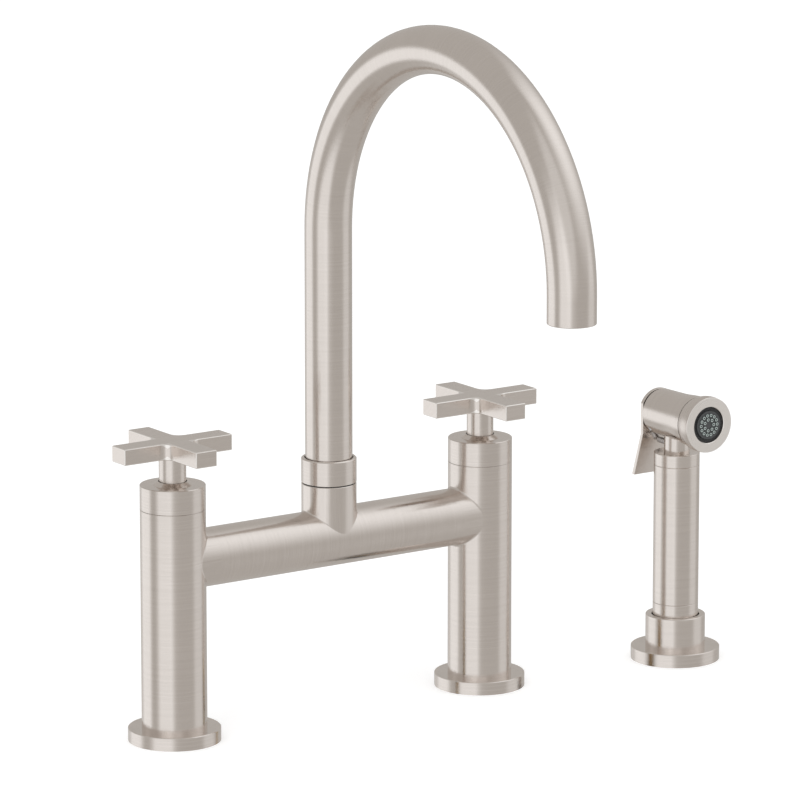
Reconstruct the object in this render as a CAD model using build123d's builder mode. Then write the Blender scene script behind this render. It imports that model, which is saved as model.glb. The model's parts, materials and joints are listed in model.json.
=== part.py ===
from build123d import *
import os

os.makedirs("parts", exist_ok=True)

# Millimetres. X runs toward the cold leg, -Y toward the user, Z up from the top of the deck.

# Legs, flanges and caps
leg_spacing = 203.2
leg_radius = 17.9
leg_above_bridge = 13.95
leg_wall = 5.3
flange_radius = 25.4
flange_height = 7.3
cap_height = 13.5
cap_cone_height = 1.9
cap_cone_base = 11.1
cap_cone_top = 8.3

# Bridge, tee and spout
bridge_height = 99.3
bridge_radius = 15.95
bridge_wall = 3.0
tee_half_length = 22.0
tee_height = 31.0
spout_radius = 13.0
spout_wall = 1.8
spout_riser = 142.0
arc_radius = 112.5
outlet_drop = 14.5
collar_height = 13.65

# Cross handles
arm_span = 68.5
arm_width = 13.2
arm_thickness = 8.9
arm_corner = 6.0
arm_edge = 0.5
handle_lift = 15.7
stem_radius = 7.45
spindle_radius = 4.0

# Fixing under the deck
deck_thickness = 32.0
shank_radius = 10.48
shank_length = 63.0
inlet_radius = 6.5
nut_flats = 30.0

# Side spray
spray_offset = 126.0
spray_forward = 15.7
holder_radius = 17.0
holder_height = 26.1
handset_radius = 13.0
handset_wall = 2.0
foot_top = 33.2
ring_base = 113.6
ring_height = 7.2
neck_radius = 7.25
head_height = 141.5
head_rear = 15.6
head_front = 29.7
lever_half_width = 11.9
lever_thickness = 2.3
lever_bottom = 104.0

# Clearances
slide_gap = 0.05
fit_gap = 0.1
free_gap = 0.4
edge_break = 0.3

# Heights and positions that follow
leg_top = bridge_height + bridge_radius + leg_above_bridge
tee_top = bridge_height + tee_height
collar_base = tee_top + 0.65
collar_top = collar_base + collar_height
cap_base = leg_top + fit_gap
cap_top = leg_top + cap_height
arm_base = cap_top + handle_lift
arc_height = tee_top + spout_riser
outlet_height = arc_height - outlet_drop
outlet_y = -2 * arc_radius
spray_x = leg_spacing / 2 + spray_offset
spray_y = -spray_forward
deck_underside = -deck_thickness

# Radii inside a leg that follow its wall
chamber_radius = leg_radius - leg_wall
spigot_radius = leg_radius - 2.7
housing_radius = chamber_radius - 2.6
housing_bore = housing_radius - 1.8
disc_radius = housing_bore - 0.3
riser_bore = chamber_radius - 6.1
riser_outer = chamber_radius - 4.0
chamber_floor = bridge_height - 14.0
riser_top = leg_top - 21.5
housing_base = riser_top + 1.7
disc_base = housing_base + 1.0
disc_meeting = disc_base + 2.8
spindle_foot = disc_meeting + 2.85
spindle_foot_top = spindle_foot + 2.45
stub_reach = leg_radius + 3.1
port_radius = bridge_radius - 4.45
joint_radius = bridge_radius - 1.55
joint_depth = 5.0

# Radii inside the tee and the spout that follow the spout tube
barrel_radius = spout_radius + 2.2
tee_radius = max(bridge_radius, barrel_radius + 0.55)
collar_radius = barrel_radius + 0.05
socket_radius = barrel_radius - 3.2
socket_floor = bridge_height + bridge_radius - 1.45
post_radius = socket_radius - 0.06
post_bore = post_radius - 3.34
post_base = socket_floor + 1.4
tube_inner = spout_radius - spout_wall
tube_base = collar_base + 2.05
diverter_radius = post_radius - 2.99
diverter_base = socket_floor - 8.0

sides = {"hot": -1, "cold": 1}


def upright(x, y=0.0):
    """A plane at deck level whose normal is a vertical axis."""
    return Plane(origin=(x, y, 0), x_dir=(1, 0, 0), z_dir=(0, 0, 1))


def forward(x, y, z):
    """A plane whose normal points toward the user."""
    return Plane(origin=(x, y, z), x_dir=(1, 0, 0), z_dir=(0, -1, 0))


def outline_plane(x, y):
    """The plane in which a vertical turned piece is drawn: radius across, height up."""
    return forward(x, y, 0)


def add_disc(base, start, end, radius):
    """Add a round step from one station to another along the base plane's normal."""
    with BuildSketch(base.offset(start)) as outline:
        Circle(radius)
    extrude(outline.sketch, amount=end - start)


def cut_disc(base, start, end, radius):
    """Bore a round hole from one station to another along the base plane's normal."""
    with BuildSketch(base.offset(start)) as outline:
        Circle(radius)
    extrude(outline.sketch, amount=end - start, mode=Mode.SUBTRACT)


def add_ring(base, start, end, inner, outer):
    """Add a flat ring between two radii."""
    with BuildSketch(base.offset(start)) as outline:
        Circle(outer)
        Circle(inner, mode=Mode.SUBTRACT)
    extrude(outline.sketch, amount=end - start)


def cut_ring(base, start, end, inner, outer):
    """Cut a round groove between two radii."""
    with BuildSketch(base.offset(start)) as outline:
        Circle(outer)
        Circle(inner, mode=Mode.SUBTRACT)
    extrude(outline.sketch, amount=end - start, mode=Mode.SUBTRACT)


def add_o_ring(base, station, radius, section):
    """Add a round-section ring about the base plane's normal."""
    origin = base.offset(station).origin
    with BuildSketch(Plane(origin=origin, x_dir=base.x_dir, z_dir=base.y_dir)) as outline:
        with Locations((radius, 0)):
            Circle(section)
    revolve(outline.sketch, axis=Axis(origin, base.z_dir))


def add_nut(base, start, end, flats, bore):
    """Add a six-sided nut whose lower corners are turned off."""
    with BuildSketch(base.offset(start)) as outline:
        RegularPolygon(flats / 2, 6, major_radius=False)
        Circle(bore, mode=Mode.SUBTRACT)
    extrude(outline.sketch, amount=end - start)
    with BuildSketch(Plane(origin=base.origin, x_dir=base.x_dir, z_dir=-base.y_dir)) as corner:
        with BuildLine():
            Polyline((flats / 2, start), (flats / 2 + 5, start), (flats / 2 + 5, start + 3), close=True)
        make_face()
    revolve(corner.sketch, axis=Axis(base.origin, base.z_dir), mode=Mode.SUBTRACT)


def hex_recess(base, start, depth, flats):
    """Sink a six-sided key recess back from a station."""
    with BuildSketch(base.offset(start)) as outline:
        RegularPolygon(flats / 2, 6, major_radius=False)
    extrude(outline.sketch, amount=-depth, mode=Mode.SUBTRACT)


def rims(piece, base, station, radius):
    """The round edges of one radius that lie at one station along the base plane's normal."""

    def matches(edge):
        height = base.to_local_coords(edge.arc_center).Z
        return abs(edge.radius - radius) < 0.01 and abs(height - station) < 0.01

    return piece.edges().filter_by(GeomType.CIRCLE).filter_by(matches)


def save(piece, name):
    """Name a finished piece and write it out."""
    piece.part.label = name
    export_step(piece.part, f"parts/{name}.step")


# ---------------------------------------------------------------- deck flanges and gaskets

gasket_inner = flange_radius - 7.9
gasket_outer = flange_radius - 2.9


def make_flange(name, base, radius, height, bore):
    """A flat round flange that rests on the deck, with a gasket groove underneath."""
    with BuildPart() as flange:
        add_disc(base, 0, height, radius)
        cut_disc(base, 0, height, bore)
        cut_ring(base, 0, 1.8, gasket_inner, gasket_outer)
        chamfer(rims(flange, base, height, radius), edge_break)
    save(flange, name)


def make_deck_gaskets():
    """One soft ring in the groove under each flange."""
    with BuildPart() as gaskets:
        for base in (upright(-leg_spacing / 2), upright(leg_spacing / 2), upright(spray_x, spray_y)):
            add_ring(base, 0.05, 1.75, gasket_inner + fit_gap, gasket_outer - fit_gap)
    save(gaskets, "deck_gaskets")


# ---------------------------------------------------------------- legs

shank_socket = 22.0
leg_foot = 1.0
leg_foot_radius = 15.0


def make_leg(name, side):
    """A leg: column, side stub for the bridge, valve chamber and threaded ends."""
    x = side * leg_spacing / 2
    up = upright(x)
    inward = Plane(origin=(x, 0, bridge_height), x_dir=(0, 1, 0), z_dir=(-side, 0, 0))
    with BuildPart() as leg:
        add_disc(up, flange_height, leg_top, leg_radius)
        add_disc(inward, 0, stub_reach, bridge_radius)
        seam = leg.edges().filter_by(GeomType.BSPLINE)
        fillet(seam, 1.2)
        chamfer(rims(leg, up, leg_top, leg_radius), 0.15)
        add_disc(up, leg_foot, flange_height, leg_foot_radius)
        add_disc(up, leg_top, leg_top + 4.5, spigot_radius)
        cut_disc(up, chamber_floor, leg_top + 4.5, chamber_radius)
        cut_disc(inward, 0, stub_reach, port_radius)
        cut_disc(inward, stub_reach - joint_depth - 0.2, stub_reach, joint_radius + slide_gap)
        add_disc(up, chamber_floor, riser_top, riser_outer)
        cut_disc(up, leg_foot, riser_top, riser_bore)
        cut_disc(up, leg_foot, shank_socket, shank_radius + 0.07)
    save(leg, name)


def make_shank(name, x):
    """The threaded shank below a leg; its lowest stretch takes the supply hose nut."""
    up = upright(x)
    with BuildPart() as shank:
        add_disc(up, -shank_length, shank_socket - 0.2, shank_radius)
        cut_disc(up, -shank_length, shank_socket - 0.2, inlet_radius)
        cut_ring(up, 14 - shank_length, 16 - shank_length, shank_radius - 0.9, shank_radius + 1)
        chamfer(rims(shank, up, -shank_length, shank_radius), 0.8)
    save(shank, name)


def make_under_deck_sets():
    """Rubber washer, steel washer and lock nut on both shanks, each kind as one group."""
    axes = [upright(-leg_spacing / 2), upright(leg_spacing / 2)]
    with BuildPart() as rubber:
        for base in axes:
            add_ring(base, deck_underside - 3, deck_underside, shank_radius + 0.3, 24)
    save(rubber, "rubber_washers")
    with BuildPart() as steel:
        for base in axes:
            add_ring(base, deck_underside - 4.2, deck_underside - 3, shank_radius + 0.3, 22)
    save(steel, "steel_washers")
    with BuildPart() as nuts:
        for base in axes:
            add_nut(base, deck_underside - 12, deck_underside - 4.2, nut_flats, shank_radius + 0.07)
    save(nuts, "lock_nuts")


# ---------------------------------------------------------------- bridge

def make_bridge_tube(name, side):
    """A plain tube between a leg's stub and the tee, with a thin spigot at each end."""
    outward = Plane(origin=(0, 0, bridge_height), x_dir=(0, 1, 0), z_dir=(side, 0, 0))
    start = tee_half_length
    end = leg_spacing / 2 - stub_reach
    with BuildPart() as tube:
        add_disc(outward, start, end, bridge_radius)
        add_disc(outward, start - joint_depth, start, joint_radius)
        add_disc(outward, end, end + joint_depth, joint_radius)
        cut_disc(outward, start - joint_depth, end + joint_depth, bridge_radius - bridge_wall)
    save(tube, name)


set_screw_height = tee_top - 4.4


def make_tee():
    """The tee: a sleeve along the bridge, never narrower than the upright barrel for the spout."""
    along = Plane(origin=(0, 0, bridge_height), x_dir=(0, 1, 0), z_dir=(1, 0, 0))
    up = upright(0)
    backward = Plane(origin=(0, 0, set_screw_height), x_dir=(1, 0, 0), z_dir=(0, 1, 0))
    with BuildPart() as tee:
        add_disc(along, -tee_half_length, tee_half_length, tee_radius)
        add_disc(up, bridge_height, tee_top, barrel_radius)
        fillet(tee.edges().filter_by(GeomType.BSPLINE), 0.8)
        chamfer(rims(tee, up, tee_top, barrel_radius), 0.25)
        cut_disc(along, -tee_half_length, tee_half_length, port_radius)
        depth = joint_depth + 0.2
        cut_disc(along, -tee_half_length, depth - tee_half_length, joint_radius + slide_gap)
        cut_disc(along, tee_half_length - depth, tee_half_length, joint_radius + slide_gap)
        cut_disc(up, bridge_height, socket_floor, diverter_radius + slide_gap)
        cut_disc(up, socket_floor, tee_top, socket_radius)
        cut_disc(backward, socket_radius - 1, barrel_radius + 1, 2.55)
    save(tee, "spout_tee")


# ---------------------------------------------------------------- quarter-turn cartridges

def make_cartridge(name, x):
    """The screwed-in housing that holds the two ceramic discs and the spindle."""
    up = upright(x)
    window_height = disc_meeting + 0.4
    with BuildPart() as housing:
        add_disc(up, housing_base, spindle_foot + 2, housing_radius)
        add_disc(up, spindle_foot + 2, leg_top + 4.5, chamber_radius - slide_gap)
        with BuildSketch(up.offset(leg_top + 4.6)):
            RegularPolygon(chamber_radius - 0.6, 6, major_radius=False)
        extrude(amount=3)
        add_disc(up, leg_top + 4.5, leg_top + 9.8, spindle_radius + 2.5)
        cut_disc(up, housing_base, disc_base, housing_bore - 2.7)
        cut_disc(up, disc_base, spindle_foot_top + 0.2, housing_bore)
        cut_disc(up, spindle_foot_top, leg_top + 9.8, spindle_radius + 0.06)
        cut_ring(up, leg_top + 3, leg_top + 5.2, spindle_radius, spindle_radius + 1.5)
        with BuildSketch(up.offset(window_height)):
            with PolarLocations(housing_radius - 1, 4, start_angle=45):
                Rectangle(5, housing_radius * 0.75)
        extrude(amount=2.2, mode=Mode.SUBTRACT)
    save(housing, name)


def make_fixed_disc(name, x):
    """The lower ceramic disc with its two water holes."""
    up = upright(x)
    with BuildPart() as disc:
        add_disc(up, disc_base, disc_meeting, housing_bore - fit_gap)
        with BuildSketch(up.offset(disc_base)):
            with Locations((0, disc_radius * 0.56), (0, -disc_radius * 0.56)):
                Circle(2.2)
        extrude(amount=disc_meeting - disc_base, mode=Mode.SUBTRACT)
    save(disc, name)


def make_turning_disc(name, x):
    """The upper ceramic disc: two open notches and a slot for the spindle's key."""
    up = upright(x)
    low = disc_meeting + slide_gap
    high = spindle_foot - slide_gap
    with BuildPart() as disc:
        add_disc(up, low, high, disc_radius)
        with BuildSketch(up.offset(low)):
            with Locations((disc_radius * 0.8, 0), (-disc_radius * 0.8, 0)):
                Circle(disc_radius * 0.45)
        extrude(amount=1.5, mode=Mode.SUBTRACT)
        with BuildSketch(up.offset(high)):
            Rectangle(3.2, 2 * disc_radius + 2)
        extrude(amount=-1.1, mode=Mode.SUBTRACT)
    save(disc, name)


def make_spindle(name, x):
    """The brass spindle: a keyed foot on the turning disc and a plain top for the handle."""
    up = upright(x)
    with BuildPart() as spindle:
        add_disc(up, spindle_foot, spindle_foot_top, disc_radius)
        add_disc(up, spindle_foot_top, arm_base - 7.0, spindle_radius)
        with BuildSketch(up.offset(spindle_foot)):
            Rectangle(3.0, 2 * disc_radius - 4)
        extrude(amount=-1.0)
        chamfer(rims(spindle, up, arm_base - 7.0, spindle_radius), 0.5)
    save(spindle, name)


def make_cartridge_rings():
    """The seal under each cartridge and the O-ring round each spindle, each kind as one group."""
    axes = [upright(side * leg_spacing / 2) for side in sides.values()]
    with BuildPart() as seals:
        for base in axes:
            add_ring(base, riser_top + fit_gap, housing_base - fit_gap, riser_bore - 1, riser_outer - 0.2)
    save(seals, "cartridge_seals")
    with BuildPart() as rings:
        for base in axes:
            add_o_ring(base, leg_top + 4.1, spindle_radius + 0.8, 0.7)
    save(rings, "spindle_o_rings")


# ---------------------------------------------------------------- caps and handles

def make_cap(name, x):
    """The cover that hides the cartridge: a short round cap with a low cone round the stem."""
    up = upright(x)
    with BuildPart() as cap:
        add_disc(up, cap_base, cap_top, leg_radius)
        chamfer(rims(cap, up, cap_top, leg_radius), edge_break)
        chamfer(rims(cap, up, cap_base, leg_radius), 0.15)
        with BuildSketch(up.offset(cap_top)):
            Circle(cap_cone_base)
        with BuildSketch(up.offset(cap_top + cap_cone_height)):
            Circle(cap_cone_top)
        loft()
        cut_disc(up, cap_base, cap_top - 3, spigot_radius + slide_gap)
        cut_disc(up, cap_base, cap_top + cap_cone_height, stem_radius + free_gap)
    save(cap, name)


def make_handle(name, x):
    """A four-armed handle: a flat plain cross on a round stem."""
    up = upright(x)
    with BuildPart() as handle:
        with BuildSketch(up.offset(arm_base)) as cross:
            Rectangle(arm_span, arm_width)
            Rectangle(arm_width, arm_span)
            fillet(cross.vertices().sort_by_distance((0, 0, 0))[:4], arm_corner)
        extrude(amount=arm_thickness)
        fillet(handle.edges(), arm_edge)
        add_disc(up, cap_top - 1.7, arm_base + 1, stem_radius)
        cut_disc(up, cap_top - 1.7, arm_base - 6.5, spindle_radius + slide_gap)
        backward = Plane(origin=(x, 0, arm_base - 8.4), x_dir=(1, 0, 0), z_dir=(0, 1, 0))
        cut_disc(backward, 0, stem_radius + 1, 2.0)
    save(handle, name)


def make_handle_screw(name, x):
    """The small headless screw that holds a handle on its spindle."""
    backward = Plane(origin=(x, 0, arm_base - 8.4), x_dir=(1, 0, 0), z_dir=(0, 1, 0))
    with BuildPart() as screw:
        add_disc(backward, spindle_radius + 0.1, stem_radius - 0.25, 1.95)
        hex_recess(backward, stem_radius - 0.25, 1.5, 2)
    save(screw, name)


# ---------------------------------------------------------------- spray diverter in the tee

def make_diverter_body():
    """The brass seat that sends water to the spout."""
    up = upright(0)
    with BuildPart() as body:
        add_disc(up, diverter_base, socket_floor, diverter_radius)
        cut_disc(up, diverter_base, socket_floor, diverter_radius - 3.95)
    save(body, "diverter_body")


def make_diverter_plunger():
    """The sliding plunger: a fluted stem under a flat head that lifts when water flows."""
    up = upright(0)
    stem = diverter_radius - 4.02
    with BuildPart() as plunger:
        add_disc(up, diverter_base - 2, socket_floor + 0.3, stem)
        with BuildSketch(up.offset(diverter_base - 2)):
            with PolarLocations(stem, 3):
                Circle(1.7)
        extrude(amount=socket_floor + 0.3 - diverter_base + 2, mode=Mode.SUBTRACT)
        add_disc(up, socket_floor + 0.3, socket_floor + 2.3, post_bore - 0.6)
    save(plunger, "diverter_plunger")


# ---------------------------------------------------------------- swivelling spout

o_ring_heights = (post_base + 3.0, post_base + 6.4)


def make_spout_post():
    """The post brazed into the spout tube, which turns in the tee's barrel."""
    up = upright(0)
    with BuildPart() as post:
        add_disc(up, post_base, tube_base, post_radius)
        chamfer(rims(post, up, post_base, post_radius), 0.5)
        add_disc(up, tube_base, tube_base + 14, tube_inner - slide_gap)
        cut_disc(up, post_base, tube_base + 14, post_bore)
        for height in o_ring_heights:
            cut_ring(up, height - 1.1, height + 1.1, post_radius - 1.69, post_radius + 1)
        low = set_screw_height - 1.5
        cut_ring(up, low, set_screw_height + 1.5, post_radius - 1.64, post_radius + 1)
    save(post, "spout_post")


def make_spout_o_rings():
    """The two O-rings that seal the post in the tee."""
    with BuildPart() as rings:
        for height in o_ring_heights:
            add_o_ring(upright(0), height, post_radius - 0.84, 0.84)
    save(rings, "spout_o_rings")


def make_spout_set_screw():
    """The screw in the back of the tee whose nose runs in the post's groove."""
    backward = Plane(origin=(0, 0, set_screw_height), x_dir=(1, 0, 0), z_dir=(0, 1, 0))
    with BuildPart() as screw:
        add_disc(backward, socket_radius + 0.2, barrel_radius - 0.2, 2.5)
        add_disc(backward, socket_radius - 1.2, socket_radius + 0.2, 1.1)
        hex_recess(backward, barrel_radius - 0.2, 1.5, 2.5)
    save(screw, "spout_set_screw")


def make_thrust_washer():
    """The thin plastic ring the spout's collar turns on."""
    up = upright(0)
    with BuildPart() as washer:
        add_disc(up, tee_top, tee_top + 0.5, barrel_radius - 0.8)
        cut_disc(up, tee_top, tee_top + 0.5, post_radius + 0.36)
    save(washer, "thrust_washer")


def make_spout_collar():
    """The collar at the spout's foot, a shallow cup round the tube."""
    up = upright(0)
    with BuildPart() as collar:
        add_disc(up, collar_base, collar_top, collar_radius)
        chamfer(rims(collar, up, collar_top, collar_radius), 0.5)
        chamfer(rims(collar, up, collar_base, collar_radius), 0.2)
        cut_disc(up, collar_base, tube_base, post_radius + slide_gap)
        cut_disc(up, tube_base, collar_top, spout_radius + slide_gap)
        cut_disc(up, collar_top - 3, collar_top, spout_radius + 0.5)
    save(collar, "spout_collar")


def make_spout_tube():
    """The gooseneck: straight riser, half-round arch and a short straight drop."""
    with BuildPart() as tube:
        with BuildLine() as path:
            Line((0, 0, tube_base), (0, 0, arc_height))
            crest = (0, -arc_radius, arc_height + arc_radius)
            ThreePointArc((0, 0, arc_height), crest, (0, outlet_y, arc_height))
            Line((0, outlet_y, arc_height), (0, outlet_y, outlet_height))
        with BuildSketch(upright(0).offset(tube_base)):
            Circle(spout_radius)
            Circle(tube_inner, mode=Mode.SUBTRACT)
        sweep(path=path.wires()[0])
        outlet = upright(0, outlet_y)
        fillet(rims(tube, outlet, outlet_height, spout_radius), 0.5)
        chamfer(rims(tube, outlet, outlet_height, tube_inner), 0.3)
    save(tube, "spout_tube")


def make_aerator():
    """Threaded ring, mesh insert and seal inside the spout's end."""
    up = upright(0, outlet_y).offset(outlet_height)
    outer = tube_inner - slide_gap
    with BuildPart() as housing:
        add_disc(up, 0.6, 9.0, outer)
        cut_disc(up, 0.6, 9.0, outer - 1.55)
        chamfer(rims(housing, up, 0.6, outer - 1.55), 0.6)
    save(housing, "aerator_housing")
    with BuildPart() as insert:
        add_disc(up, 1.4, 8.4, outer - 1.65)
        cut_disc(up, 3.4, 8.4, outer - 2.65)
        cut_disc(up, 1.4, 1.9, outer - 2.65)
        with BuildSketch(up.offset(1.4)):
            with HexLocations(1.05, 9, 9):
                Circle(0.72)
            Circle(outer - 3.0, mode=Mode.INTERSECT)
        extrude(amount=2, mode=Mode.SUBTRACT)
    save(insert, "aerator_insert")
    with BuildPart() as seal:
        add_disc(up, 9.1, 10.6, outer - fit_gap)
        cut_disc(up, 9.1, 10.6, outer - 2.65)
    save(seal, "aerator_seal")


# ---------------------------------------------------------------- side spray holder

liner_floor = 12.0
liner_top = 22.7
holder_bore = handset_radius + 0.6
guide_bore = handset_radius - 2.4


def make_spray_holder():
    """The holder: a plain collar above the deck on a hollow threaded shank."""
    up = upright(spray_x, spray_y)
    with BuildPart() as holder:
        add_disc(up, 7.5, holder_height, holder_radius)
        chamfer(rims(holder, up, holder_height, holder_radius), edge_break)
        add_disc(up, -50, 7.5, holder_radius - 3.2)
        cut_disc(up, -50, holder_height, guide_bore)
        cut_disc(up, liner_floor, holder_height, holder_bore)
        chamfer(rims(holder, up, holder_height, holder_bore), edge_break)
    save(holder, "spray_holder")
    with BuildPart() as liner:
        add_disc(up, liner_floor, liner_top, holder_bore - fit_gap)
        cut_disc(up, liner_floor, liner_top, handset_radius - 1.6)
    save(liner, "spray_liner")


def make_holder_fixing():
    """Rubber washer and lock nut that clamp the holder to the deck."""
    up = upright(spray_x, spray_y)
    shank = holder_radius - 3.2
    with BuildPart() as washer:
        add_disc(up, deck_underside - 3, deck_underside, 24)
        cut_disc(up, deck_underside - 3, deck_underside, shank + 0.3)
    save(washer, "spray_rubber_washer")
    with BuildPart() as nut:
        add_nut(up, deck_underside - 12, deck_underside - 3, 2 * shank + 10.4, shank + 0.07)
    save(nut, "spray_lock_nut")


# ---------------------------------------------------------------- side spray handset

foot_base = liner_top + 0.3
foot_bore = handset_radius - 4.95
tube_bore = handset_radius - handset_wall
nipple_shoulder = 12.4
ring_top = ring_base + ring_height


def make_handset_body():
    """Foot, long tube and top ring of the handset, each screwed into the next."""
    up = upright(spray_x, spray_y)
    with BuildPart() as foot:
        add_disc(up, foot_base, foot_top, handset_radius)
        chamfer(rims(foot, up, foot_base, handset_radius), 0.5)
        chamfer(rims(foot, up, foot_top, handset_radius), 0.2)
        add_disc(up, nipple_shoulder, foot_base, handset_radius - 2)
        add_disc(up, foot_top, foot_top + 6.8, tube_bore - slide_gap)
        cut_disc(up, nipple_shoulder, foot_top + 6.8, foot_bore)
    save(foot, "handset_foot")
    with BuildPart() as tube:
        add_disc(up, foot_top + slide_gap, ring_base - slide_gap, handset_radius)
        chamfer(rims(tube, up, foot_top + slide_gap, handset_radius), 0.2)
        chamfer(rims(tube, up, ring_base - slide_gap, handset_radius), 0.2)
        cut_disc(up, foot_top + slide_gap, ring_base - slide_gap, tube_bore)
    save(tube, "handset_tube")
    with BuildPart() as ring:
        with BuildSketch(outline_plane(spray_x, spray_y)):
            with BuildLine():
                Polyline(
                    (neck_radius + slide_gap, ring_base - 7.6),
                    (tube_bore - slide_gap, ring_base - 7.6),
                    (tube_bore - slide_gap, ring_base),
                    (handset_radius, ring_base),
                    (handset_radius, ring_top),
                    (neck_radius + slide_gap, ring_top - 0.9),
                    close=True,
                )
            make_face()
        revolve(axis=Axis((spray_x, spray_y, 0), (0, 0, 1)))
        chamfer(rims(ring, up, ring_base, handset_radius), 0.2)
        fillet(rims(ring, up, ring_top, handset_radius), 0.4)
    save(ring, "handset_top_ring")


def make_hose_nipple():
    """The threaded nipple in the handset's foot that takes the hose."""
    up = upright(spray_x, spray_y)
    with BuildPart() as nipple:
        add_disc(up, nipple_shoulder, foot_base + 1, foot_bore - slide_gap)
        add_disc(up, nipple_shoulder - 1.5, nipple_shoulder, 9.5)
        add_disc(up, -3, nipple_shoulder - 1.5, 6.6)
        cut_disc(up, -3, foot_base + 1, 4)
    save(nipple, "hose_nipple")


# ---------------------------------------------------------------- side spray head

valve_height = head_height - 16.9
pivot_height = head_height - 8.5
pivot_back = head_rear - 2.9
lever_front = head_rear + 0.85
stem_tail = lever_front + 0.75
waist_radius = 13.4
rear_radius = waist_radius - 0.3
bezel_start = 19.5
bezel_radius = 15.75
face_opening = 10.3


def make_head():
    """The spray head on its neck, cast in one: waterway, valve bore and lever slot."""
    up = upright(spray_x, spray_y)
    front = forward(spray_x, spray_y, head_height)
    with BuildPart() as head:
        with BuildSketch(Plane(origin=front.origin, x_dir=(1, 0, 0), z_dir=(0, 0, -1))):
            with BuildLine():
                Line((0, -head_rear), (rear_radius, -head_rear))
                Line((rear_radius, -head_rear), (waist_radius, 2.0))
                Spline(
                    (waist_radius, 2.0),
                    (waist_radius + 0.95, 15.6),
                    tangents=((0.02, 1.0), (0.05, 1.0)),
                )
                Line((waist_radius + 0.95, 15.6), (waist_radius + 0.95, bezel_start - 0.2))
                Line((waist_radius + 0.95, bezel_start - 0.2), (0, bezel_start - 0.2))
                Line((0, bezel_start - 0.2), (0, -head_rear))
            make_face()
        revolve(axis=Axis(front.origin, (0, -1, 0)))
        fillet(rims(head, front, -head_rear, rear_radius), 0.7)
        add_disc(up, ring_base - 7.6, head_height, neck_radius)
        add_disc(front, bezel_start - 0.2, 24, waist_radius - 1)
        cut_disc(front, -5, 20, 8)
        cut_disc(front, 20, 24, 9.8)
        cut_disc(up, ring_base - 7.6, head_height, 4.5)
        valve = forward(spray_x, spray_y, valve_height)
        cut_disc(valve, -neck_radius - 1, 4.8, 3.0)
        slot = Plane(origin=(spray_x, spray_y + pivot_back - 3.5, 0), x_dir=(1, 0, 0), z_dir=(0, 0, 1))
        with BuildSketch(slot.offset(head_height - 16)):
            Rectangle(6.8, 10, align=(Align.CENTER, Align.MIN))
        extrude(amount=11, mode=Mode.SUBTRACT)
        pin_hole = Plane(
            origin=(spray_x, spray_y + pivot_back, pivot_height), x_dir=(0, 1, 0), z_dir=(1, 0, 0)
        )
        cut_disc(pin_hole, -waist_radius, waist_radius, 1.3)
    save(head, "handset_head")


def make_lever_pin():
    """The pin the lever turns on."""
    across = Plane(origin=(spray_x, spray_y + pivot_back, pivot_height), x_dir=(0, 1, 0), z_dir=(1, 0, 0))
    with BuildPart() as pin:
        add_disc(across, -9.4, 9.4, 1.25)
    save(pin, "lever_pin")


def make_bezel():
    """The flared ring screwed on the front of the head."""
    front = forward(spray_x, spray_y, head_height)
    with BuildPart() as bezel:
        with BuildSketch(Plane(origin=front.origin, x_dir=(1, 0, 0), z_dir=(0, 0, -1))):
            with BuildLine():
                Line((waist_radius - 0.95, bezel_start), (waist_radius + 0.9, bezel_start))
                Spline(
                    (waist_radius + 0.9, bezel_start),
                    (waist_radius + 1.6, bezel_start + 1.5),
                    (waist_radius + 2.5, bezel_start + 5.0),
                    (bezel_radius, head_front),
                )
                Polyline(
                    (bezel_radius, head_front),
                    (face_opening, head_front),
                    (face_opening, 25),
                    (waist_radius - 0.95, 25),
                    (waist_radius - 0.95, bezel_start),
                )
            make_face()
        revolve(axis=Axis(front.origin, (0, -1, 0)))
        chamfer(rims(bezel, front, head_front, bezel_radius), 0.15)
        chamfer(rims(bezel, front, head_front, face_opening), 0.3)
    save(bezel, "handset_bezel")


nozzle_rings = ((14, 5.65), (7, 3.2))


def make_face_parts():
    """Black seal, nozzle plate and the soft nozzle mat behind it."""
    front = forward(spray_x, spray_y, head_height)
    with BuildPart() as seal:
        add_ring(front, 25.2, head_front - 1.2, 8.25, face_opening - fit_gap)
    save(seal, "face_seal")
    with BuildPart() as plate:
        add_disc(front, 25.0, head_front - 0.3, 8.1)
        add_disc(front, 24.1, 25.0, waist_radius - 1.3)
        for count, radius in nozzle_rings:
            with BuildSketch(front.offset(24.1)):
                with PolarLocations(radius, count):
                    Circle(1.05)
            extrude(amount=head_front - 24.4, mode=Mode.SUBTRACT)
    save(plate, "nozzle_plate")
    with BuildPart() as mat:
        add_disc(front, 23.0, 24.05, 9.5)
        for count, radius in nozzle_rings:
            with BuildSketch(front.offset(24.05)):
                with PolarLocations(radius, count):
                    Circle(1.0)
            extrude(amount=head_front + 0.2 - 24.05)
        for count, radius in nozzle_rings:
            with BuildSketch(front.offset(23.0)):
                with PolarLocations(radius, count):
                    Circle(0.39)
            extrude(amount=head_front + 0.2 - 23, mode=Mode.SUBTRACT)
    save(mat, "nozzle_mat")


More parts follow.
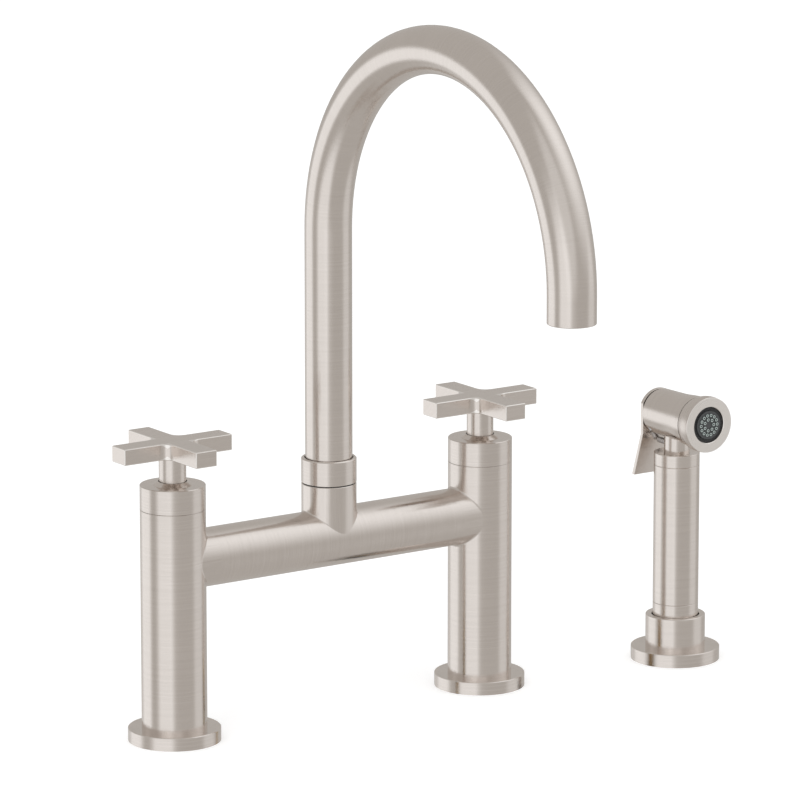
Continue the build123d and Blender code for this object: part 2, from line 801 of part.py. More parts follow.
def make_valve():
    """Valve stem with its O-ring, the gland it slides in and its return spring."""
    base = forward(spray_x, spray_y, valve_height)
    with BuildPart() as stem:
        add_disc(base, -stem_tail, 2.0, 1.8)
        add_disc(base, -4.0, -1.5, 2.9)
        cut_ring(base, -3.3, -2.2, 2.2, 3.5)
        fillet(rims(stem, base, -stem_tail, 1.8), 0.8)
    save(stem, "valve_stem")
    with BuildPart() as ring:
        add_o_ring(base, -2.75, 2.56, 0.36)
    save(ring, "valve_o_ring")
    with BuildPart() as gland:
        add_ring(base, -neck_radius - 0.95, -5.2, 1.85, 2.98)
    save(gland, "stem_gland")
    start = (spray_x, spray_y + 1.0, valve_height)
    with BuildPart() as spring:
        with BuildLine() as path:
            Helix(pitch=1.15, height=5.3, radius=2.42, center=start, direction=(0, -1, 0))
        with BuildSketch(Plane(origin=path.line @ 0, z_dir=path.line % 0)):
            Circle(0.35)
        sweep(is_frenet=True)
    save(spring, "return_spring")


def make_lever():
    """The trigger: a plate with the head's round crown, a flared tail and a lug at its pivot."""
    across = Plane(origin=(spray_x, spray_y, 0), x_dir=(0, 1, 0), z_dir=(1, 0, 0))
    bend = head_height - 12.2
    tail_back = lever_front + (bend - lever_bottom) * 0.305
    with BuildPart() as lever:
        with BuildSketch(across):
            with BuildLine():
                Polyline(
                    (lever_front, head_height + rear_radius),
                    (lever_front + lever_thickness, head_height + rear_radius),
                    (lever_front + lever_thickness, bend - 0.35),
                    (tail_back + lever_thickness + 0.1, lever_bottom),
                    (tail_back, lever_bottom),
                    (lever_front, bend),
                    close=True,
                )
            make_face()
        extrude(amount=lever_half_width, both=True)
        with BuildSketch(forward(spray_x, spray_y + lever_front - 1, head_height)):
            Circle(rear_radius)
            with Locations((0, -lever_half_width)):
                Rectangle(2 * lever_half_width, 60, align=(Align.CENTER, Align.MAX))
            Rectangle(2 * lever_half_width, lever_half_width, align=(Align.CENTER, Align.MAX))
        extrude(amount=-20, mode=Mode.INTERSECT)
        fillet(lever.edges(), edge_break)
        with BuildSketch(across):
            with Locations((pivot_back, pivot_height)):
                Circle(3.0)
            with Locations((pivot_back, pivot_height)):
                Rectangle(lever_front + 1 - pivot_back, 6, align=(Align.MIN, Align.CENTER))
            with Locations((pivot_back, pivot_height)):
                Circle(1.33, mode=Mode.SUBTRACT)
        extrude(amount=3.0, both=True)
    save(lever, "spray_lever")


# ---------------------------------------------------------------- build everything

for side_name, side in sides.items():
    axis_x = side * leg_spacing / 2
    leg_base = upright(axis_x)
    make_flange(f"{side_name}_escutcheon", leg_base, flange_radius, flange_height, leg_foot_radius + 0.3)
    make_leg(f"{side_name}_leg", side)
    make_shank(f"{side_name}_shank", axis_x)
    make_bridge_tube(f"{side_name}_bridge_tube", side)
    make_cartridge(f"{side_name}_cartridge", axis_x)
    make_fixed_disc(f"{side_name}_fixed_disc", axis_x)
    make_turning_disc(f"{side_name}_turning_disc", axis_x)
    make_spindle(f"{side_name}_spindle", axis_x)
    make_cap(f"{side_name}_cap", axis_x)
    make_handle(f"{side_name}_handle", axis_x)
    make_handle_screw(f"{side_name}_set_screw", axis_x)
make_flange("spray_escutcheon", upright(spray_x, spray_y), flange_radius - 0.1, 7.5, holder_radius - 3.0)
make_deck_gaskets()
make_under_deck_sets()
make_tee()
make_cartridge_rings()
make_diverter_body()
make_diverter_plunger()
make_spout_post()
make_spout_o_rings()
make_spout_set_screw()
make_thrust_washer()
make_spout_collar()
make_spout_tube()
make_aerator()
make_spray_holder()
make_holder_fixing()
make_handset_body()
make_hose_nipple()
make_head()
make_lever_pin()
make_bezel()
make_face_parts()
make_valve()
make_lever()
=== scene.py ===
import json
import math

import bpy
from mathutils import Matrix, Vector

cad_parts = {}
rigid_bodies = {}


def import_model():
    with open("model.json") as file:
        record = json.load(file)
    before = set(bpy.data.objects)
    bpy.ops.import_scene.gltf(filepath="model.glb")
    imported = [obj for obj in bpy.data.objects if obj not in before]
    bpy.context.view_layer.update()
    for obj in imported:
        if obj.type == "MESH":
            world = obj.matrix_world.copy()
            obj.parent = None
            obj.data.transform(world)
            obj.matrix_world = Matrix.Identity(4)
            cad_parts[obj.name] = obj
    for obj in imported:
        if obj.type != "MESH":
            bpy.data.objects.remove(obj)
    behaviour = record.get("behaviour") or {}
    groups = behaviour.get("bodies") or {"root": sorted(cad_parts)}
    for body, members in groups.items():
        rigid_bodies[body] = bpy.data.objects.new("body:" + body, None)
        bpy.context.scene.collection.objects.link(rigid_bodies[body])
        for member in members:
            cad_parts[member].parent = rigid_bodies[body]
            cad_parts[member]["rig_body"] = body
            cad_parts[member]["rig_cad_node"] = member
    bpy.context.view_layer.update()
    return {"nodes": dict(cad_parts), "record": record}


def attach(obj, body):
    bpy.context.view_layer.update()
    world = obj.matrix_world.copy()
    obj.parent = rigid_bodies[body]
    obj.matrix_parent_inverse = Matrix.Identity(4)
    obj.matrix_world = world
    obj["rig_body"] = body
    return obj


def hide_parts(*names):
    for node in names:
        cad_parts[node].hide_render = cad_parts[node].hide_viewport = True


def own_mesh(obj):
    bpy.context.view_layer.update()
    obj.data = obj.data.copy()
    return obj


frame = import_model()
nodes = frame["nodes"]

# Places on the faucet that several finishes and pieces share, in metres.
leg_x = 0.1016
arch_y = -0.1125
arch_z = 0.2723
arch_radius = 0.1125
spray_x = 0.2276
spray_y = -0.0157
head_z = 0.1415
front_y = -0.0454
arm_reach = 0.03425
arm_half_width = 0.0066
arm_bottom = 0.1584
arm_top = 0.1673


# ---------------------------------------------------------------- shader arithmetic

# Where the Mix node keeps its two colours and its mixed colour.
mix_under = 6
mix_top = 7
mix_colour = 2


class Signal:
    """A shader socket that takes part in plain arithmetic."""

    def __init__(self, finish, socket):
        self.finish = finish
        self.socket = socket

    def _math(self, operation, first, second=None):
        values = [first] if second is None else [first, second]
        return self.finish.node("ShaderNodeMath", {"operation": operation}, values)

    def __add__(self, other):
        return self._math("ADD", self, other)

    def __radd__(self, other):
        return self._math("ADD", other, self)

    def __sub__(self, other):
        return self._math("SUBTRACT", self, other)

    def __rsub__(self, other):
        return self._math("SUBTRACT", other, self)

    def __mul__(self, other):
        return self._math("MULTIPLY", self, other)

    def __rmul__(self, other):
        return self._math("MULTIPLY", other, self)

    def __truediv__(self, other):
        return self._math("DIVIDE", self, other)

    def __gt__(self, other):
        return self._math("GREATER_THAN", self, other)

    def __lt__(self, other):
        return self._math("LESS_THAN", self, other)

    def above(self, other):
        return self._math("MAXIMUM", self, other)

    def below(self, other):
        return self._math("MINIMUM", self, other)

    def fraction(self):
        return self._math("FRACT", self)

    def size(self):
        return self._math("ABSOLUTE", self)

    def root(self):
        return self._math("SQRT", self)

    def sine(self):
        return self._math("SINE", self)

    def angle_from(self, other):
        return self._math("ARCTAN2", self, other)


class Finish:
    """One material or world, built node by node."""

    def __init__(self, owner):
        owner.use_nodes = True
        self.owner = owner
        self.tree = owner.node_tree
        self.tree.nodes.clear()

    def node(self, kind, settings=None, inputs=None, output=0):
        made = self.tree.nodes.new(kind)
        for name, value in (settings or {}).items():
            if name == "stops":
                self._set_stops(made.color_ramp, value)
            else:
                setattr(made, name, value)
        pairs = inputs.items() if isinstance(inputs, dict) else enumerate(inputs or [])
        for key, value in pairs:
            if isinstance(value, Signal):
                self.tree.links.new(value.socket, made.inputs[key])
            elif value is not None:
                made.inputs[key].default_value = value
        return Signal(self, made.outputs[output]) if made.outputs else None

    @staticmethod
    def _set_stops(ramp, stops):
        while len(ramp.elements) < len(stops):
            ramp.elements.new(0.5)
        for element, (place, level) in zip(ramp.elements, stops):
            element.position = place
            element.color = (level, level, level, 1.0)

    def place(self):
        """Object coordinates, in metres in the faucet's own frame."""
        return self.node("ShaderNodeTexCoord", output="Object")

    def split(self, vector):
        made = self.tree.nodes.new("ShaderNodeSeparateXYZ")
        self.tree.links.new(vector.socket, made.inputs[0])
        return [Signal(self, made.outputs[k]) for k in range(3)]

    def join(self, x, y, z):
        return self.node("ShaderNodeCombineXYZ", inputs=[x, y, z])

    def noise(self, vector, scale=1.0, detail=2.0, roughness=0.5):
        settings = {"noise_dimensions": "3D"}
        values = {"Vector": vector, "Scale": scale, "Detail": detail, "Roughness": roughness}
        return self.node("ShaderNodeTexNoise", settings, values, "Fac")

    def over(self, factor, under, top):
        """A plain colour laid by a factor over another, which may be plain or mixed already."""
        settings = {"data_type": "RGBA", "blend_type": "MIX"}
        if not isinstance(under, Signal):
            under = (*under, 1.0)
        values = {"Factor": factor, mix_under: under, mix_top: (*top, 1.0)}
        return self.node("ShaderNodeMix", settings, values, mix_colour)

    def rays(self):
        """Whether the camera, a reflection or a transmission is looking."""
        made = self.tree.nodes.new("ShaderNodeLightPath")
        kinds = ("Is Camera Ray", "Is Glossy Ray", "Is Transmission Ray")
        return [Signal(self, made.outputs[kind]) for kind in kinds]

    def bump(self, height, strength, distance):
        values = {"Strength": strength, "Distance": distance, "Height": height}
        return self.node("ShaderNodeBump", None, values)

    def surface(self, **sockets):
        """The closing shader: every value goes to the socket of that name."""
        values = {name.replace("_", " "): value for name, value in sockets.items()}
        shader = self.node("ShaderNodeBsdfPrincipled", None, values)
        self.node("ShaderNodeOutputMaterial", None, {"Surface": shader})
        return self.owner


def new_finish(name):
    return Finish(bpy.data.materials.new(name))


def dress(piece, material):
    """Put a material on every face of a piece."""
    piece.data.materials.clear()
    piece.data.materials.append(material)


# ---------------------------------------------------------------- brushed nickel

nickel_light = (0.84, 0.785, 0.745)
nickel_dark = (0.72, 0.67, 0.63)
# Painted highlight colour for the handles' edges and the bezel's flat front.
painted_highlight_colour = (0.97, 0.94, 0.91)
fine_lines = 8000.0
coarse_lines = 2100.0
cloud_scale = 30.0
brush_depth = 0.00005
tone_floor = 0.22
tone_spread = 1.8
# Share of the tone left in a thread's roots by the painted shade.
painted_root_shade = 0.25

# How much a move along a brushing line counts, against one across it.
drift = 0.012


# The mask below says where painted shade falls in a thread's roots.
def thread_crest(finish, thread):
    """Zero in a screw thread's roots, one on its crests and one above the thread.

    thread is the axis' x and y, the height where it ends, and its root and crest radii.
    """
    x, y, top, root, crest = thread
    px, py, pz = finish.split(finish.place())
    across = px - x
    back = py - y
    radius = (across * across + back * back).root()
    rise = ((radius - root) / (crest - root)).above(0.0).below(1.0)
    return rise.above(pz > top)


def brushed_nickel(name, grain, sheen=0.12, thread=None, painted_highlight=None):
    """Satin nickel whose brushing lines run across the direction that grain returns.

    grain takes the finish and the object coordinates, and returns a vector whose first number
    runs fast from one brushing line to the next while the others stay nearly level along a line.
    thread says where painted shade darkens a screw thread's roots, and the last argument says where
    a painted highlight lightens the metal.
    """
    finish = new_finish(name)
    vector = grain(finish, finish.place())
    fine = finish.noise(vector, scale=fine_lines, detail=1.0)
    coarse = finish.noise(vector, scale=coarse_lines, detail=2.0)
    cloud = finish.noise(finish.place(), scale=cloud_scale, detail=2.0)
    tone = 0.35 * fine + 0.5 * coarse + 0.15 * cloud
    tone = (tone - tone_floor) * tone_spread
    height = 0.85 * fine + 0.15 * coarse
    # Painted shade: the tone darkens towards the thread's roots.
    if thread:
        tone = tone * (painted_root_shade + (1.0 - painted_root_shade) * thread_crest(finish, thread))
    colour = finish.over(tone, nickel_dark, nickel_light)
    # Painted highlight: the colour turns lighter where the mask says.
    if painted_highlight:
        colour = finish.over(painted_highlight(finish), colour, painted_highlight_colour)
    return finish.surface(
        Base_Color=colour,
        Metallic=1.0,
        Roughness=sheen + 0.06 * fine + 0.03 * cloud,
        Normal=finish.bump(height, 0.5, brush_depth),
    )


def rings_about_z(x, y):
    """Brushing round an upright axis."""

    def grain(finish, place):
        px, py, pz = finish.split(place)
        return finish.join(pz, (px - x) * drift, (py - y) * drift)

    return grain


def rings_about_x(finish, place):
    """Brushing round the bridge's axis."""
    px, py, pz = finish.split(place)
    return finish.join(px, py * drift, pz * drift)


def rings_about_y(finish, place):
    """Brushing round the spray head's axis."""
    px, py, pz = finish.split(place)
    return finish.join(py, px * drift, pz * drift)


def rings_along_arch(finish, place):
    """Brushing round the gooseneck: up the riser, round the arch and down to the outlet."""
    px, py, pz = finish.split(place)
    back = py - arch_y
    rise = (pz - arch_z).above(0.0)
    along = rise.angle_from(back) * arch_radius
    drop = (pz - arch_z).below(0.0)
    return finish.join(along + drop, px * drift, (back * back + rise * rise).root() * drift)


def rings_on_face(finish, place):
    """Turning lines round the spray's face."""
    px, py, pz = finish.split(place)
    across = px - spray_x
    rise = pz - head_z
    return finish.join((across * across + rise * rise).root() + py, across * drift, rise * drift)


def lines_along_x(finish, place):
    """Straight brushing lines along X."""
    px, py, pz = finish.split(place)
    return finish.join(py + pz, px * drift, 0.0)


def lines_along_z(finish, place):
    """Straight brushing lines up a plate."""
    px, py, pz = finish.split(place)
    return finish.join(px + py, pz * drift, 0.0)


# ---------------------------------------------------------------- other materials


def plain_finish(name, colour, other, metallic, roughness, scale, depth):
    """A quiet material: two close tones, a varied sheen and a fine grain."""
    finish = new_finish(name)
    place = finish.place()
    cloud = finish.noise(place, scale=scale * 0.1, detail=3.0)
    fine = finish.noise(place, scale=scale, detail=2.0)
    return finish.surface(
        Base_Color=finish.over(0.6 * cloud + 0.4 * fine, colour, other),
        Metallic=metallic,
        Roughness=roughness + 0.12 * (cloud - 0.5),
        Normal=finish.bump(fine, 0.3, depth),
    )


def threaded_brass(name, thread):
    """Turned brass with painted shade in its screw thread's roots."""
    finish = new_finish(name)
    px, py, pz = finish.split(finish.place())
    crest = thread_crest(finish, thread)
    fine = finish.noise(finish.join(pz, px * 0.02, py * 0.02), scale=3000.0)
    return finish.surface(
        # Painted shade: the darker brass tone lies in the thread's roots.
        Base_Color=finish.over(crest * 0.7 + fine * 0.3, (0.58, 0.42, 0.20), (0.80, 0.62, 0.34)),
        Metallic=1.0,
        Roughness=0.26 + 0.14 * fine,
        Normal=finish.bump(fine, 0.3, 0.00002),
    )


# Width of the painted edge highlight along the handles' rims.
edge_highlight_width = 0.00052


def painted_handle_edge_highlights(finish):
    """The rounded rims of a cross handle, where a highlight is painted lighter."""
    px, py, pz = finish.split(finish.place())
    across = (px.size() - leg_x).size()
    back = py.size()
    one_arm = (arm_half_width - back).below(arm_reach - across)
    other_arm = (arm_half_width - across).below(arm_reach - back)
    rim = one_arm.above(other_arm) + (pz - arm_bottom).below(arm_top - pz).size()
    corner = (arm_half_width - back) + (arm_reach - across)
    other_corner = (arm_half_width - across) + (arm_reach - back)
    return rim.below(corner.size()).below(other_corner.size()) < edge_highlight_width


# Depth of the bezel's front on which a highlight is painted.
face_highlight_depth = 0.0002


def painted_face_highlight(finish):
    """The flat front of the spray's bezel, where a highlight is painted lighter than its flared
    side.
    """
    px, py, pz = finish.split(finish.place())
    return py < front_y + face_highlight_depth


# How many nozzles stand on each ring, and the ring's radius.
nozzle_rings = ((14, 0.00565), (7, 0.0032))
nozzle_hole = 0.00046
nozzle_lip = 0.00084


def nozzle_tips():
    """Soft grey-green nozzles: a pale lip round each hole, whose darkness is painted shade."""
    finish = new_finish("soft nozzles")
    px, py, pz = finish.split(finish.place())
    across = px - spray_x
    rise = pz - head_z
    reach = (across * across + rise * rise).root()
    turn = rise.angle_from(across) / math.tau
    nearest = 1.0
    for count, radius in nozzle_rings:
        along = ((turn * float(count) + 0.5).fraction() - 0.5) * (math.tau * radius / count)
        out = reach - radius
        nearest = (along * along + out * out).root().below(nearest)
    # Painted shade: each nozzle's hole is laid near black.
    painted_hole_shade = nearest < nozzle_hole
    lip = (nearest < nozzle_lip) * (1.0 - painted_hole_shade)
    speck = finish.noise(finish.place(), scale=3000.0)
    base = finish.over(speck, (0.11, 0.13, 0.13), (0.16, 0.19, 0.18))
    pale = finish.over(lip, base, (0.56, 0.64, 0.61))
    return finish.surface(
        Base_Color=finish.over(painted_hole_shade, pale, (0.02, 0.024, 0.024)),
        Roughness=0.28 + 0.12 * speck,
        Normal=finish.bump(lip * 0.6 + speck * 0.1, 0.5, 0.00006),
    )


seal_ribs = 60.0
# Painted shade: black lies between the seal's ribs and grey on their crests.
seal_black = (0.010, 0.010, 0.011)
seal_grey = (0.060, 0.062, 0.064)


def ribbed_seal():
    """Black rubber with fine radial ribs round the spray's face, with painted shade between the ribs
    and lighter crests.
    """
    finish = new_finish("ribbed face seal")
    px, py, pz = finish.split(finish.place())
    turn = (pz - head_z).angle_from(px - spray_x)
    rib = (turn * seal_ribs).sine() * 0.5 + 0.5
    speck = finish.noise(finish.place(), scale=2600.0)
    return finish.surface(
        # Painted shade and light follow the ribs' relief.
        Base_Color=finish.over(rib * 0.7 + speck * 0.3, seal_black, seal_grey),
        Roughness=0.5 + 0.15 * speck,
        Normal=finish.bump(rib + speck * 0.1, 0.8, 0.0002),
    )


mesh_pitch = 0.0011

# Half a hole's width, as a share of the pitch.
mesh_hole = 0.34


def aerator_screen():
    """The white insert behind the outlet, with its square mesh, whose holes are painted shade."""
    finish = new_finish("aerator screen")
    px, py, pz = finish.split(finish.place())
    bar_x = ((px / mesh_pitch).fraction() - 0.5).size()
    bar_y = ((py / mesh_pitch).fraction() - 0.5).size()
    # Painted shade: the mesh's holes are laid dark.
    painted_hole_shade = (bar_x < mesh_hole) * (bar_y < mesh_hole)
    speck = finish.noise(finish.place(), scale=1800.0)
    plastic = finish.over(speck, (0.66, 0.66, 0.64), (0.74, 0.74, 0.72))
    return finish.surface(
        Base_Color=finish.over(painted_hole_shade, plastic, (0.09, 0.09, 0.09)),
        Roughness=0.4 + 0.1 * speck,
        Normal=finish.bump(1.0 - painted_hole_shade, 0.6, 0.0002),
    )


# Two tones of each plain material.
brass = ((0.80, 0.62, 0.34), (0.66, 0.48, 0.24))
steel = ((0.66, 0.66, 0.67), (0.54, 0.54, 0.55))
ceramic = ((0.86, 0.85, 0.82), (0.80, 0.79, 0.76))
rubber = ((0.020, 0.020, 0.021), (0.035, 0.034, 0.034))
pale_plastic = ((0.74, 0.74, 0.72), (0.68, 0.68, 0.66))
dark_plastic = ((0.060, 0.064, 0.066), (0.085, 0.09, 0.092))

nickel_rings = {
    "hot": brushed_nickel("hot leg nickel", rings_about_z(-leg_x, 0.0)),
    "cold": brushed_nickel("cold leg nickel", rings_about_z(leg_x, 0.0)),
    "spray": brushed_nickel("spray nickel", rings_about_z(spray_x, spray_y)),
    "spout": brushed_nickel("collar nickel", rings_about_z(0.0, 0.0)),
}
bridge_nickel = brushed_nickel("bridge nickel", rings_about_x)
arch_nickel = brushed_nickel("gooseneck nickel", rings_along_arch)
head_nickel = brushed_nickel("spray head nickel", rings_about_y)
# The bezel's flat front and the handles' edges carry painted highlights.
face_nickel = brushed_nickel("spray face nickel", rings_on_face, painted_highlight=painted_face_highlight, sheen=0.24)
handle_nickel = brushed_nickel("handle nickel", lines_along_x, painted_highlight=painted_handle_edge_highlights)
# The holder's nickel carries painted shade in its thread roots.
holder_nickel = brushed_nickel(
    "spray holder nickel",
    rings_about_z(spray_x, spray_y),
    thread=(spray_x, spray_y, -0.001, 0.0128, 0.0138),
)
lever_nickel = brushed_nickel("lever nickel", lines_along_z)

turned_brass = plain_finish("turned brass", *brass, 1.0, 0.3, 2500.0, 0.00002)
plain_steel = plain_finish("plain steel", *steel, 1.0, 0.32, 2500.0, 0.00002)
white_ceramic = plain_finish("white ceramic", *ceramic, 0.0, 0.22, 1500.0, 0.00001)
black_rubber = plain_finish("black rubber", *rubber, 0.0, 0.62, 2600.0, 0.00005)
white_plastic = plain_finish("white plastic", *pale_plastic, 0.0, 0.42, 1800.0, 0.00002)
grey_plastic = plain_finish("dark plastic", *dark_plastic, 0.0, 0.4, 2200.0, 0.00003)

finish_of = {
    "hot_escutcheon": nickel_rings["hot"],
    "hot_leg": nickel_rings["hot"],
    "hot_cap": nickel_rings["hot"],
    "cold_escutcheon": nickel_rings["cold"],
    "cold_leg": nickel_rings["cold"],
    "cold_cap": nickel_rings["cold"],
    "hot_handle": handle_nickel,
    "cold_handle": handle_nickel,
    "hot_bridge_tube": bridge_nickel,
    "cold_bridge_tube": bridge_nickel,
    "spout_tee": bridge_nickel,
    "spout_collar": nickel_rings["spout"],
    "spout_tube": arch_nickel,
    "spray_escutcheon": nickel_rings["spray"],
    "spray_holder": holder_nickel,
    "handset_foot": nickel_rings["spray"],
    "handset_tube": nickel_rings["spray"],
    "handset_top_ring": nickel_rings["spray"],
    "handset_head": head_nickel,
    "handset_bezel": face_nickel,
    "spray_lever": lever_nickel,
    "nozzle_plate": grey_plastic,
    "nozzle_mat": nozzle_tips(),
    "face_seal": ribbed_seal(),
    "aerator_insert": aerator_screen(),
    # The brass shanks and nipple carry painted shade in their thread roots.
    "hot_shank": threaded_brass("hot shank brass", (-leg_x, 0.0, -0.001, 0.0092, 0.0105)),
    "cold_shank": threaded_brass("cold shank brass", (leg_x, 0.0, -0.001, 0.0092, 0.0105)),
    "hose_nipple": threaded_brass("nipple brass", (spray_x, spray_y, 0.0109, 0.0057, 0.0066)),
}
by_slot = {
    "brass": turned_brass,
    "steel": plain_steel,
    "ceramic": white_ceramic,
    "black_rubber": black_rubber,
    "white_plastic": white_plastic,
    "grey_plastic": grey_plastic,
}
slot_of = {entry["node"]: entry["material_slot"] for entry in frame["record"]["subparts"]}

for node_name, node in nodes.items():
    dress(node, finish_of.get(node_name) or by_slot.get(slot_of[node_name], turned_brass))


# ---------------------------------------------------------------- wound pieces


def wind(outline, axis, turns, rise, steps, place):
    """Turn a closed outline into a coil with closed ends, and move it to its place."""
    bpy.ops.object.modifier_add(type="SCREW")
    winding = outline.modifiers[-1]
    winding.axis = axis
    winding.angle = math.tau * turns
    winding.screw_offset = rise
    winding.steps = steps
    winding.render_steps = steps
    bpy.ops.object.modifier_apply(modifier=winding.name)
    bpy.ops.object.mode_set(mode="EDIT")
    bpy.ops.mesh.select_all(action="DESELECT")
    bpy.ops.mesh.select_non_manifold()
    bpy.ops.mesh.fill_holes(sides=0)
    bpy.ops.mesh.select_all(action="SELECT")
    bpy.ops.mesh.normals_make_consistent(inside=False)
    bpy.ops.transform.translate(value=place)
    bpy.ops.object.mode_set(mode="OBJECT")


# ---------------------------------------------------------------- screw threads

# Axis' x and y, top, bottom, root radius, crest radius and pitch.
supply_thread = (-0.003, -0.0630, 0.0092, 0.01048, 0.00181)
threads = {
    "hot_shank": (-leg_x, 0.0, *supply_thread),
    "cold_shank": (leg_x, 0.0, *supply_thread),
    "spray_holder": (spray_x, spray_y, -0.003, -0.0500, 0.0128, 0.0138, 0.0015),
    "hose_nipple": (spray_x, spray_y, 0.0098, -0.0030, 0.0057, 0.0066, 0.0013),
}
thread_steps = 32.0

# How far the cutter stands out past the crest, and half its width there, as shares.
cutter_overshoot = 0.1
cutter_half_width = 0.44

# Depth and half width of a three-sided circle of radius one.
unit_depth = 1.5
unit_half_width = math.sin(math.tau / 6.0)


def wind_groove(x, y, top, bottom, root, crest, pitch):
    """A three-sided cutter wound down the shank, whose inner edge runs at the thread's root."""
    overshoot = cutter_overshoot * (crest - root)
    depth = crest + overshoot - root
    length = top - bottom + pitch
    turns = length / pitch
    upright = (math.tau / 4.0, -math.tau / 4.0, 0.0)
    bpy.ops.object.select_all(action="DESELECT")
    bpy.ops.mesh.primitive_circle_add(vertices=3, radius=1.0, rotation=upright)
    bpy.ops.object.transform_apply(location=False, rotation=True, scale=False)
    cutter = bpy.context.object
    bpy.ops.object.mode_set(mode="EDIT")
    bpy.ops.mesh.select_all(action="SELECT")
    bpy.ops.transform.resize(
        value=(depth / unit_depth, 1.0, pitch * cutter_half_width / unit_half_width),
        center_override=(0.0, 0.0, 0.0),
    )
    bpy.ops.transform.translate(value=(root + depth / unit_depth, 0.0, 0.0))
    bpy.ops.object.mode_set(mode="OBJECT")
    wind(cutter, "Z", turns, -length, round(turns * thread_steps), (x, y, top))
    return cutter


def cut_thread(node_name, thread):
    """A copy of the plain shank with its screw thread cut round it."""
    cutter = wind_groove(*thread)
    node = nodes[node_name]
    bpy.ops.object.select_all(action="DESELECT")
    node.select_set(True)
    bpy.context.view_layer.objects.active = node
    bpy.ops.object.duplicate()
    piece = bpy.context.object
    piece.name = "threaded_" + node_name
    del piece["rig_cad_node"]
    bpy.ops.object.mode_set(mode="EDIT")
    bpy.ops.mesh.select_all(action="SELECT")
    bpy.ops.mesh.remove_doubles(threshold=0.000001)
    bpy.ops.object.mode_set(mode="OBJECT")
    bpy.ops.mesh.customdata_custom_splitnormals_clear()
    bpy.ops.object.modifier_add(type="BOOLEAN")
    cut = piece.modifiers[-1]
    cut.operation = "DIFFERENCE"
    cut.solver = "EXACT"
    cut.object = cutter
    bpy.ops.object.modifier_apply(modifier=cut.name)
    bpy.ops.object.shade_smooth_by_angle(angle=math.radians(25.0))
    bpy.data.objects.remove(cutter)
    dress(piece, finish_of[node_name])
    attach(piece, node["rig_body"])
    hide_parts(node_name)


for node_name, thread in threads.items():
    cut_thread(node_name, thread)


# ---------------------------------------------------------------- the valve's return spring

spring_back = -0.0147
spring_z = 0.1246
spring_radius = 0.00242
spring_wire = 0.00035
spring_length = 0.0053
spring_pitch = 0.00115
spring_steps = 120


def wind_return_spring():
    """The spring behind the spray's valve, wound at its rest length; here it does not shorten as the
    lever is pressed.
    """
    bpy.ops.object.select_all(action="DESELECT")
    bpy.ops.mesh.primitive_circle_add(vertices=12, radius=spring_wire, location=(0.0, 0.0, 0.0))
    spring = bpy.context.object
    spring.name = "valve_return_spring"
    bpy.ops.object.mode_set(mode="EDIT")
    bpy.ops.mesh.select_all(action="SELECT")
    bpy.ops.transform.translate(value=(spring_radius, 0.0, 0.0))
    bpy.ops.object.mode_set(mode="OBJECT")
    turns = spring_length / spring_pitch
    wind(spring, "Y", turns, -spring_length, spring_steps, (spray_x, spring_back, spring_z))
    bpy.ops.object.shade_smooth_by_angle(angle=math.radians(40.0))
    dress(spring, plain_steel)
    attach(spring, "handset")
    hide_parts("return_spring")
    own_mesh(spring)


wind_return_spring()


# ---------------------------------------------------------------- floor, light and camera


def lay_floor():
    """A white paper floor that keeps the faucet's soft shadow."""
    bpy.ops.object.select_all(action="DESELECT")
    bpy.ops.mesh.primitive_plane_add(size=12.0, location=(0.0, 0.0, 0.0))
    floor = bpy.context.object
    floor.name = "floor"
    paper = new_finish("white paper floor")
    fibre = paper.noise(paper.place(), scale=600.0, detail=2.0)
    colour = paper.over(fibre, (0.84, 0.84, 0.84), (0.86, 0.86, 0.86))
    seen, glossy, through = paper.rays()
    matte = paper.node("ShaderNodeBsdfDiffuse", None, {"Color": colour})
    white = {"Color": (1.0, 1.0, 1.0, 1.0)}
    lift = paper.node("ShaderNodeEmission", None, {**white, "Strength": 0.4})
    lifted = paper.node("ShaderNodeAddShader", None, [matte, lift])
    glow = paper.node("ShaderNodeEmission", None, {**white, "Strength": 1.0})
    direct = paper.node("ShaderNodeMixShader", None, [seen, matte, lifted])
    mixed = paper.node("ShaderNodeMixShader", None, [glossy.above(through), direct, glow])
    paper.node("ShaderNodeOutputMaterial", None, {"Surface": mixed})
    dress(floor, paper.owner)
    floor.visible_glossy = False


toward_camera = (-0.567, -0.824)
degrees = 360.0 / math.tau

# Openings in the grey gauze round the table, through which the metal sees the white room:
# bearing and height in degrees, half width, half height, how open and how crisp at the edge.
# Bearings count from the camera, and left is negative.
openings = (
    (-28.0, -12.0, 38.0, 50.0, 0.82, 1.4),
    (-108.0, -8.0, 36.0, 24.0, 0.95, 1.5),
    (-148.0, -18.0, 26.0, 24.0, 0.30, 1.5),
    (2.0, 30.0, 38.0, 50.0, 0.40, 1.5),
    (97.0, -12.0, 28.0, 32.0, 0.40, 1.5),
    (98.0, 50.0, 78.0, 60.0, 1.00, 1.0),
)


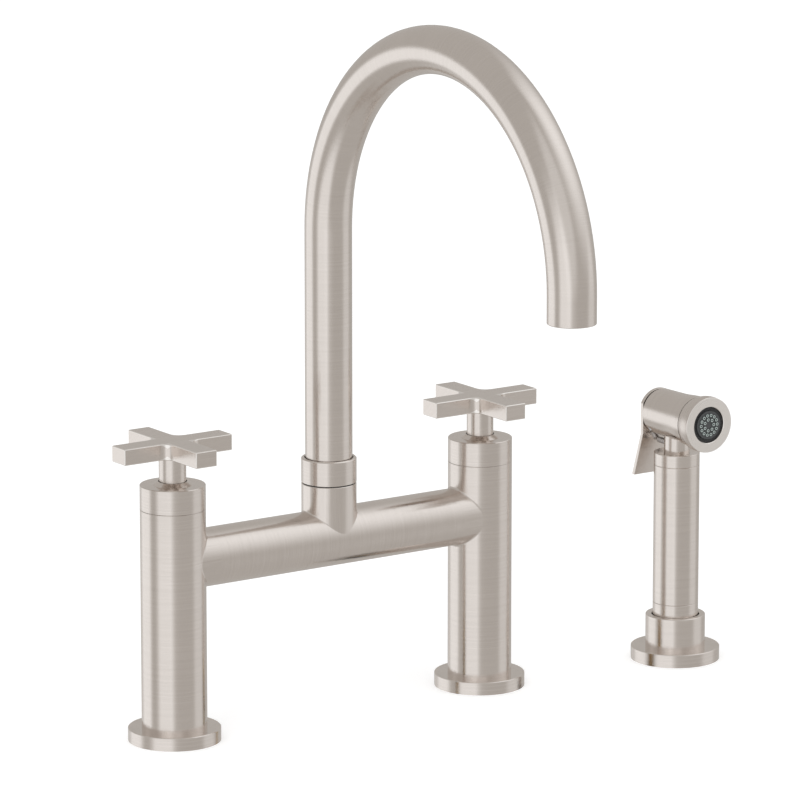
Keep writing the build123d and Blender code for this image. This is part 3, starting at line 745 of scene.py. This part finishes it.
def hang_gauze():
    """A round grey gauze with soft openings, which only the metal's reflections see."""
    bpy.ops.object.select_all(action="DESELECT")
    bpy.ops.mesh.primitive_uv_sphere_add(segments=64, ring_count=32, radius=3.0)
    gauze = bpy.context.object
    gauze.name = "studio_gauze"
    cloth = new_finish("grey studio gauze")
    px, py, pz = cloth.split(cloth.place())
    ahead = px * toward_camera[0] + py * toward_camera[1]
    right = px * -toward_camera[1] + py * toward_camera[0]
    bearing = right.angle_from(ahead) * degrees
    height = pz.angle_from((px * px + py * py).root()) * degrees
    open_part = 0.0
    for turn, tilt, half_width, half_height, amount, crisp in openings:
        across = (bearing - turn) / half_width
        up = (height - tilt) / half_height
        inside = (crisp - crisp * (across * across + up * up).below(1.0)).below(1.0)
        open_part = open_part + amount * (inside * inside)
    grey = cloth.node("ShaderNodeEmission", None, {"Color": (0.505, 0.485, 0.462, 1.0)})
    gap = cloth.node("ShaderNodeBsdfTransparent")
    mixed = cloth.node("ShaderNodeMixShader", None, [open_part.below(1.0), grey, gap])
    cloth.node("ShaderNodeOutputMaterial", None, {"Surface": mixed})
    dress(gauze, cloth.owner)
    gauze.visible_camera = False
    gauze.visible_diffuse = False
    gauze.visible_shadow = False
    gauze.visible_transmission = False


lamp_place = Vector((-2.2, -1.2, 2.4))
lamp_aim = Vector((0.0, 0.0, 0.15))


def light_the_studio():
    """An even white room and one broad soft lamp from the upper left."""
    world = bpy.data.worlds.new("studio")
    bpy.context.scene.world = world
    room = Finish(world)
    seen, glossy, through = room.rays()
    soft = room.node("ShaderNodeBackground", None, {"Color": (0.8, 0.8, 0.8, 1.0), "Strength": 1.0})
    white = room.node("ShaderNodeBackground", None, {"Color": (1.0, 1.0, 1.0, 1.0), "Strength": 1.0})
    mixed = room.node("ShaderNodeMixShader", None, [seen.above(glossy).above(through), soft, white])
    room.node("ShaderNodeOutputWorld", None, {"Surface": mixed})
    bpy.ops.object.light_add(type="AREA", location=lamp_place)
    lamp = bpy.context.object
    lamp.data.shape = "DISK"
    lamp.data.size = 1.8
    lamp.data.energy = 14.0
    lamp.rotation_euler = (lamp_aim - lamp_place).to_track_quat("-Z", "Y").to_euler()
    lamp.visible_glossy = False


camera_place = (-1.8261, -2.7220, 0.9046)
camera_down = 12.526
camera_turn = -34.539
camera_lens = 275.81


def place_camera():
    """The photograph's view: from the left, a little above, through a long lens."""
    bpy.ops.object.camera_add(location=camera_place)
    camera = bpy.context.object
    camera.rotation_euler = (math.radians(90.0 - camera_down), 0.0, math.radians(camera_turn))
    camera.data.lens = camera_lens
    camera.data.sensor_width = 36.0
    camera.data.clip_end = 50.0
    bpy.context.scene.camera = camera


lay_floor()
hang_gauze()
light_the_studio()
place_camera()
bpy.context.scene.view_settings.view_transform = "Standard"
